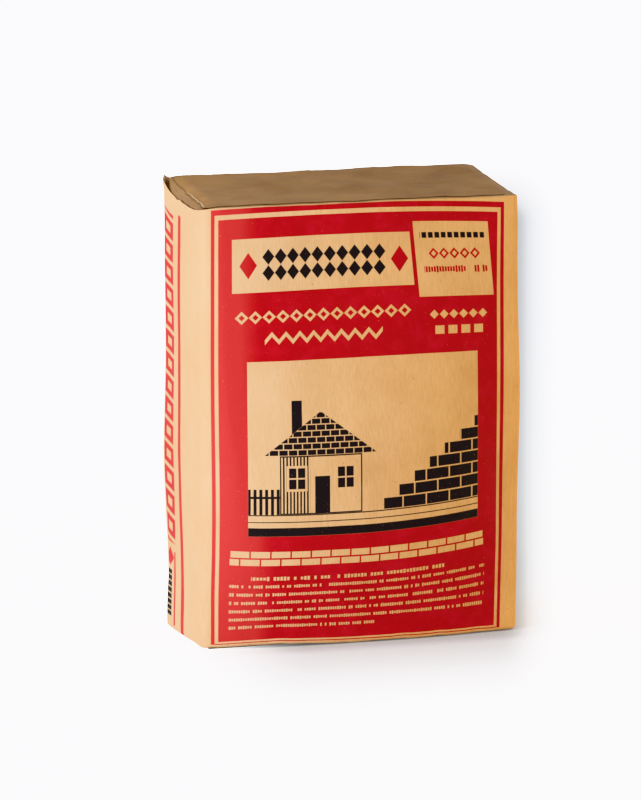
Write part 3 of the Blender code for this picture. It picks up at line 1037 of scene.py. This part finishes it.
def front_print_group():
    tree, given, result = start_group("front_print", (("Flat", "NodeSocketVector"),), ("Red", "Black"))
    w = Wiring(tree)
    p, s, q = w.parts(given[0])

    def area(box, across=p):
        return box_distance(w, across, q, *box)

    def within(box, shape, across=p):
        return w.highest(area(box, across), shape)

    slanted = w.math("MULTIPLY_ADD", w.math("SUBTRACT", q, SLANT_ABOUT), SLANT, p)
    window, label = area(WINDOW), area(LABEL, slanted)
    plate = w.highest(area(PLATE), w.math("SUBTRACT", slanted, PLATE_RIGHT))

    heading_q = w.math("SUBTRACT", q, middle_of(HEADING))
    heading_p = wrapped(w, w.math("SUBTRACT", p, HEADING[0] + 7.4 * MM), 14.7 * MM)
    heading = outlined(w, lozenge(w, heading_p, heading_q, 7.2 * MM, 6.8 * MM), 2.6 * MM)
    second = zigzag(w, p, q, middle_of(SECOND_ROW), 15 * MM, 8.5 * MM, 3.4 * MM)
    right_q = w.math("SUBTRACT", q, middle_of(RIGHT_ROW))
    right = lozenge(w, wrapped(w, w.math("SUBTRACT", p, 79.4 * MM), 10.8 * MM), right_q, 4.9 * MM, 4.9 * MM)
    right_second = bars(w, w.math("SUBTRACT", p, 85.3 * MM), q, middle_of(RIGHT_SECOND_ROW), 14.4 * MM, 10 * MM, 9 * MM)
    title = courses(w, w.math("SUBTRACT", p, TITLE[0]), q, TITLE[2], 21.3 * MM, 8.5 * MM, 1.7 * MM)
    standard = fine_marks(w, p, q, STANDARD_ROW[2], 5.5 * MM, 3.6 * MM, 4.2 * MM, 3.0)
    small = fine_marks(w, p, q, PARAGRAPH[2], 8.75 * MM, 2.5 * MM, 3.4 * MM, 7.0)
    last_row = w.highest(w.math("SUBTRACT", q, PARAGRAPH[2] + 8.75 * MM), w.math("SUBTRACT", LAST_ROW_END, p))
    clear = w.lowest(
        window, plate, label,
        within(HEADING, heading), within(SECOND_ROW, second),
        within(RIGHT_ROW, right), within(RIGHT_SECOND_ROW, right_second),
        within(TITLE, title), within(STANDARD_ROW, standard),
        without(w, within(PARAGRAPH, small), last_row),
    )

    plate_q = w.math("SUBTRACT", q, middle_of(PLATE))
    harlequin_p = wrapped(w, w.math("SUBTRACT", p, 6.7 * MM), 13.4 * MM)
    harlequin_q = wrapped(w, w.math("SUBTRACT", plate_q, 8.5 * MM), 17 * MM)
    harlequin = lozenge(w, harlequin_p, harlequin_q, 6.5 * MM, 8.3 * MM)
    harlequin = w.highest(harlequin, box_distance(w, p, plate_q, -107.2 * MM, 26.8 * MM, -17 * MM, 17 * MM))
    from_middle = beyond(w, w.math("SUBTRACT", p, -40.2 * MM), 82 * MM)
    plate_ends = lozenge(w, from_middle, plate_q, 9.5 * MM, 14 * MM)
    label_black = bars(w, slanted, q, 432 * MM, 7.1 * MM, 5.2 * MM, 6.2 * MM)
    label_black = within((66 * MM, 137 * MM, 428 * MM, 436 * MM), label_black, slanted)
    label_q = w.math("SUBTRACT", q, 412 * MM)
    label_red = outlined(w, lozenge(w, wrapped(w, slanted, 11.4 * MM), label_q, 5.5 * MM, 6.2 * MM), 2.0 * MM)
    label_red = within((74 * MM, 131 * MM, 405 * MM, 419 * MM), label_red, slanted)
    label_fine = fine_marks(w, slanted, q, 391 * MM, 8 * MM, 3.0 * MM, 7.5 * MM, 5.0)
    label_fine = within((68 * MM, 138 * MM, 391 * MM, 399 * MM), label_fine, slanted)

    border = without(w, area(BORDER_OUTSIDE), area(BORDER_INSIDE))
    red = w.lowest(border, without(w, area(PANEL), clear), plate_ends, label_red, label_fine)
    black = w.lowest(within(WINDOW, picture(w, p, q)), harlequin, label_black)
    on_front = w.math("LESS_THAN", s, -HALF_DEPTH + 5 * MM)
    w.tree.links.new(w.times(ink(w, red), on_front), result[0])
    w.tree.links.new(w.times(ink(w, black), on_front), result[1])
    return tree


front_print = front_print_group()

# %% [markdown]
# ## The side's print
# The valve side has a red rule from top to bottom, a column of slanted links beside it, and a
# dark block with its own thin rule near the foot.

# %% Group: print on the valve side
SIDE_RULE = (3.5 * MM, 14.5 * MM, 1 * MM, 454 * MM)
LINK_COLUMN = (33 * MM, 70 * MM, 88 * MM, 448 * MM)
LINK_HOLE = (43 * MM, 60 * MM, 88 * MM, 448 * MM)
LINK_PITCH, LINK_HEIGHT, LINK_STROKE, LINK_LEAN = 25 * MM, 20.5 * MM, 6.0 * MM, -0.10
FOOT_LOZENGE = (53 * MM, 73 * MM, 15 * MM, 9.5 * MM)
FOOT_BLOCK = (46 * MM, 68 * MM, 15 * MM, 60 * MM)
FOOT_RULE = (33 * MM, 38 * MM, 7 * MM, 80 * MM)


def side_print_group():
    tree, given, result = start_group("side_print", (("Flat", "NodeSocketVector"),), ("Red", "Black"))
    w = Wiring(tree)
    p, s, q = w.parts(given[0])
    leaning = wrapped(w, w.math("MULTIPLY_ADD", s, LINK_LEAN, q), LINK_PITCH)
    link = w.highest(beyond(w, leaning, LINK_HEIGHT / 2), box_distance(w, s, q, *LINK_COLUMN))
    hole = w.highest(beyond(w, leaning, LINK_HEIGHT / 2 - LINK_STROKE), box_distance(w, s, q, *LINK_HOLE))
    at_s, at_q, half_s, half_q = FOOT_LOZENGE
    gem = lozenge(w, w.math("SUBTRACT", s, at_s), w.math("SUBTRACT", q, at_q), half_s, half_q)
    rules = w.lowest(box_distance(w, s, q, *SIDE_RULE), box_distance(w, s, q, *FOOT_RULE))
    red = w.lowest(without(w, link, hole), gem, rules)
    slats = w.highest(box_distance(w, s, q, *FOOT_BLOCK), beyond(w, wrapped(w, q, 5.8 * MM), 2.3 * MM))
    on_side = w.math("LESS_THAN", p, -HALF_WIDTH + 5 * MM)
    w.tree.links.new(w.times(ink(w, red, 0.5 * MM), on_side), result[0])
    w.tree.links.new(w.times(ink(w, slats, 0.5 * MM), on_side), result[1])
    return tree


side_print = side_print_group()

# %% [markdown]
# ## Printed kraft
# The skin's material lays the two inks over the fibre. Ink fills the fibres, so the paper's
# streaks show less through it, and it shines a little more than unprinted kraft. It is rubbed thin
# on the folds and has pinholes. A painted sheen makes the paper paler and whiter towards and on
# the valve side, and a painted highlight lightens the red where the front turns to that side.
# A painted warm light makes the kraft beside the front's right edge more golden. The folded
# ends are a darker brown kraft. A painted shadow darkens a thin line along the back's seam,
# and painted shade darkens the paper in the valve gap.

# %% Material: printed kraft
KRAFT = (0.625, 0.33, 0.112, 1.0)
KRAFT_PALE = (0.73, 0.42, 0.165, 1.0)
# painted sheen: paler, whiter copies of the kraft for the valve side, where the light falls
SHEENED_KRAFT = (0.64, 0.41, 0.215, 1.0)
SHEENED_KRAFT_PALE = (0.72, 0.50, 0.29, 1.0)
# painted warm light: more golden copies of the kraft for the front's right edge
PAINTED_WARM_EDGE = (0.70, 0.355, 0.105, 1.0)
PAINTED_WARM_EDGE_PALE = (0.80, 0.43, 0.145, 1.0)
END_KRAFT = (0.31, 0.17, 0.072, 1.0)
END_KRAFT_PALE = (0.44, 0.26, 0.12, 1.0)
RED_INK = (0.40, 0.0035, 0.007, 1.0)
RED_INK_THIN = (0.47, 0.010, 0.020, 1.0)
# painted highlight: a lighter red for where the front turns to the valve side
RED_INK_HIGHLIGHT = (0.52, 0.041, 0.040, 1.0)
BLACK_INK = (0.016, 0.012, 0.013, 1.0)
# the colour of dark fibre specks, also used for painted shade in the seam line and the valve gap
DARK_SPECK_AND_SHADE = (0.10, 0.06, 0.03, 1.0)
SHEEN_FROM, SHEEN_TO = 120 * MM, -170 * MM
RED_HIGHLIGHT_FROM, RED_HIGHLIGHT_TO, RED_HIGHLIGHT_WIDENS = -133 * MM, -108 * MM, 15 * MM
WARM_EDGE_FROM, WARM_EDGE_TO = 148 * MM, 166 * MM
SEAM_SHADOW_LINE = 0.45 * MM


def start_material(name, roughness):
    material = bpy.data.materials.new(name)
    material.use_nodes = True
    shader = material.node_tree.nodes["Principled BSDF"]
    shader.inputs["Roughness"].default_value = roughness
    shader.inputs["Specular IOR Level"].default_value = 0.35
    return material, Wiring(material.node_tree), shader


def attribute(w, name):
    return w.node("ShaderNodeAttribute", attribute_name=name, output=1)


def printed_kraft():
    material, w, shader = start_material("printed_kraft", 0.55)
    place = w.node("ShaderNodeTexCoord", output=3)
    streaks, clouds, specks, height = use_group(w, kraft_fibre, {0: place})
    flat = attribute(w, "flat")
    p, s, q = w.parts(flat)
    fold, gap, facing_up = w.parts(attribute(w, "marks"))
    front_red, front_black = use_group(w, front_print, {0: flat})
    side_red, side_black = use_group(w, side_print, {0: flat})

    tone = w.spread(w.math("MULTIPLY_ADD", streaks, 0.5, w.math("MULTIPLY", clouds, 0.5)), 0.35, 0.65)
    # painted sheen: the paper turns paler and whiter towards and on the valve side
    paper = w.mix(w.spread(p, SHEEN_FROM, SHEEN_TO), w.mix(tone, KRAFT, KRAFT_PALE), w.mix(tone, SHEENED_KRAFT, SHEENED_KRAFT_PALE))
    # painted warm light: the kraft beside the front's right edge turns more golden
    warm_edge_share = w.times(w.spread(p, WARM_EDGE_FROM, WARM_EDGE_TO), w.spread(s, 0.0, -HALF_DEPTH))
    paper = w.mix(warm_edge_share, paper, w.mix(tone, PAINTED_WARM_EDGE, PAINTED_WARM_EDGE_PALE))
    # the ends, where the skin faces up or down, are a darker brown kraft
    end_share = w.spread(w.math("ABSOLUTE", facing_up), 0.80, 0.97)
    paper = w.mix(end_share, paper, w.mix(tone, END_KRAFT, END_KRAFT_PALE))
    paper = w.mix(w.times(specks, 0.5), paper, DARK_SPECK_AND_SHADE)
    # painted shadow: a thin dark line along the back's seam, where the overlap steps
    seam = ink(w, w.highest(beyond(w, w.math("SUBTRACT", p, SEAM_AT), SEAM_SHADOW_LINE), w.math("SUBTRACT", 0.0, s)))
    paper = w.mix(w.times(seam, 0.55), paper, DARK_SPECK_AND_SHADE)

    pinholes = w.spread(w.noise(place, 900.0, 1.0), 0.745, 0.80)
    rubbed = w.spread(w.math("MULTIPLY_ADD", clouds, 0.9, fold), 1.05, 1.45)
    cover = w.math("SUBTRACT", 1.0, w.highest(w.times(pinholes, 0.6), w.times(rubbed, 0.75)))
    mottle = w.spread(w.noise(place, 45.0, 5.0, 0.65), 0.42, 0.72)
    red_ink = w.mix(mottle, RED_INK, RED_INK_THIN)
    # painted highlight: the red is lighter near the front's left edge, over a wider strip low down
    red_highlight_edge = w.spread(q, 330 * MM, 60 * MM, 0.0, RED_HIGHLIGHT_WIDENS)
    red_highlight_share = w.spread(w.math("SUBTRACT", p, red_highlight_edge), RED_HIGHLIGHT_TO, RED_HIGHLIGHT_FROM)
    red_ink = w.mix(red_highlight_share, red_ink, RED_INK_HIGHLIGHT)
    colour = w.mix(w.times(w.highest(front_red, side_red), cover), paper, red_ink)
    colour = w.mix(w.times(w.highest(front_black, side_black), cover), colour, BLACK_INK)
    # painted shade: the paper in the valve gap is darkened
    colour = w.mix(w.times(gap, 0.85), colour, DARK_SPECK_AND_SHADE)
    w.tree.links.new(colour, shader.inputs["Base Color"])

    inked = w.highest(front_red, front_black)
    w.tree.links.new(w.math("MULTIPLY_ADD", inked, -0.14, 0.60), shader.inputs["Roughness"])
    bump = w.node("ShaderNodeBump", {"Height": height, "Strength": 0.25, "Distance": 0.1 * MM})
    w.tree.links.new(bump, shader.inputs["Normal"])
    return material


skin.data.materials.append(printed_kraft())

# %% [markdown]
# ## Plain papers and cement
# The strips and the sleeve are unprinted kraft, each a little different in tone. The top
# strip is darker along its glued edge, and a painted highlight lies along the crease of its
# rolled left end. The cement is a fine grey powder with soft lumps.

# %% Materials: brown kraft and cement powder
DARK_EDGE_BAND = (0.15, 0.095, 0.045, 1.0)
CREASE_HIGHLIGHT = (0.66, 0.48, 0.29, 1.0)


def glued_kraft():
    """The top strip: cloudy brown kraft, darker along its edge, with a painted highlight on the crease at its left end.
    """
    material, w, shader = start_material("glued_kraft", 0.62)
    place = w.node("ShaderNodeTexCoord", output=3)
    streaks, clouds, specks, height = use_group(w, kraft_fibre, {0: place})
    from_edge, from_left, rolled = w.parts(attribute(w, "edge"))
    broad = w.noise(place, 7.0, 4.0, 0.6)
    tone = w.math("MULTIPLY_ADD", streaks, 0.25, w.math("MULTIPLY_ADD", broad, 0.45, w.math("MULTIPLY", clouds, 0.3)))
    paper = w.mix(w.spread(tone, 0.36, 0.64), (0.285, 0.145, 0.048, 1.0), (0.42, 0.235, 0.09, 1.0))
    paper = w.mix(w.times(specks, 0.6), paper, DARK_SPECK_AND_SHADE)
    waver = w.math("MULTIPLY_ADD", w.noise(place, 160.0, 3.0), 2.4 * MM, from_edge)
    # darker along the strip's edges, in a wavering band
    paper = w.mix(w.times(w.spread(waver, 2.9 * MM, 1.6 * MM), 0.75), paper, DARK_EDGE_BAND)
    # painted highlight: a pale line along the crease of the rolled left end
    off_crease = w.math("ABSOLUTE", w.math("SUBTRACT", from_left, 1.9 * MM))
    paper = w.mix(w.times(w.spread(off_crease, 1.1 * MM, 0.3 * MM), rolled, 0.8), paper, CREASE_HIGHLIGHT)
    w.tree.links.new(paper, shader.inputs["Base Color"])
    bump = w.node("ShaderNodeBump", {"Height": height, "Strength": 0.25, "Distance": 0.1 * MM})
    w.tree.links.new(bump, shader.inputs["Normal"])
    return material


def plain_kraft(name, dark, pale, roughness):
    material, w, shader = start_material(name, roughness)
    place = w.node("ShaderNodeTexCoord", output=3)
    streaks, clouds, specks, height = use_group(w, kraft_fibre, {0: place})
    tone = w.math("MULTIPLY_ADD", streaks, 0.4, w.math("MULTIPLY", clouds, 0.6))
    paper = w.mix(w.spread(tone, 0.35, 0.65), dark, pale)
    w.tree.links.new(paper, shader.inputs["Base Color"])
    bump = w.node("ShaderNodeBump", {"Height": height, "Strength": 0.25, "Distance": 0.1 * MM})
    w.tree.links.new(bump, shader.inputs["Normal"])
    return material


def cement_powder():
    material, w, shader = start_material("cement_powder", 0.95)
    place = w.node("ShaderNodeTexCoord", output=3)
    lumps = w.noise(place, 60.0, 5.0, 0.6)
    grain = w.noise(place, 1800.0, 2.0)
    tone = w.math("MULTIPLY_ADD", grain, 0.5, w.math("MULTIPLY", lumps, 0.5))
    powder = w.mix(w.spread(tone, 0.3, 0.7), (0.25, 0.25, 0.24, 1.0), (0.36, 0.36, 0.34, 1.0))
    w.tree.links.new(powder, shader.inputs["Base Color"])
    bump = w.node("ShaderNodeBump", {"Height": lumps, "Strength": 0.4, "Distance": 1.0 * MM})
    w.tree.links.new(bump, shader.inputs["Normal"])
    return material


top_strip.data.materials.append(glued_kraft())
sleeve.data.materials.append(plain_kraft("sleeve_kraft", (0.30, 0.17, 0.08, 1.0), (0.40, 0.24, 0.12, 1.0), 0.6))
charge.data.materials.append(cement_powder())
foot_strip.data.materials.append(plain_kraft("foot_kraft", (0.36, 0.21, 0.10, 1.0), (0.46, 0.28, 0.14, 1.0), 0.6))

# %% [markdown]
# ## Finish
# The pieces all ride on the one body.

# %% Ride and finish
for piece in (skin, top_strip, foot_strip, sleeve, charge):
    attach(piece, "root")
